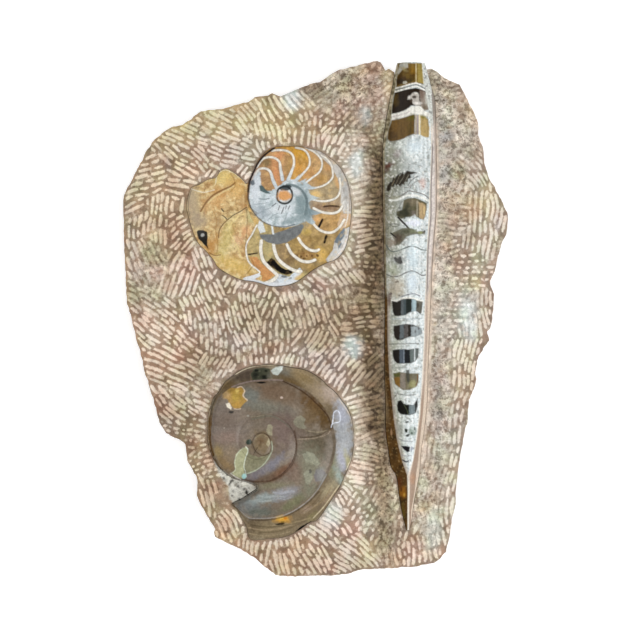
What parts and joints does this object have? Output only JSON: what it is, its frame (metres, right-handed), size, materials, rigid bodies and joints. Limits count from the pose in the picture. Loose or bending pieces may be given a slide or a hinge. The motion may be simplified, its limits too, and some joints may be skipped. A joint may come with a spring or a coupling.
{
  "type": "ammonite and orthoceras plate",
  "caption": "Chiselled brown limestone slab, lying on its sawn back, with a cut ammonite, a raised ammonite and a long ridged orthoceras set polished in its face.",
  "frame": {"origin": "under the middle of the slab's bounding box, on the surface that the sawn back lies on", "axes": "+Z out of the chiselled face, +Y along the plate's length towards the cut end of the orthoceras, +X to the right seen from above"},
  "size_m": [0.2334, 0.3122, 0.0436],
  "materials": {
    "chiselled_limestone": "rough, chiselled in short pale strokes",
    "cut_ammonite": "polished section, honey calcite with white chamber walls",
    "grey_limestone": "polished, marbled grey and brown",
    "orthoceras_calcite": "polished, white calcite with black and amber bands"
  },
  "bodies": {
    "root": {"matrix_slab": "chiselled_limestone", "upper_ammonite": "cut_ammonite", "lower_ammonite": "grey_limestone", "orthoceras": "orthoceras_calcite"}
  },
  "joints": []
}
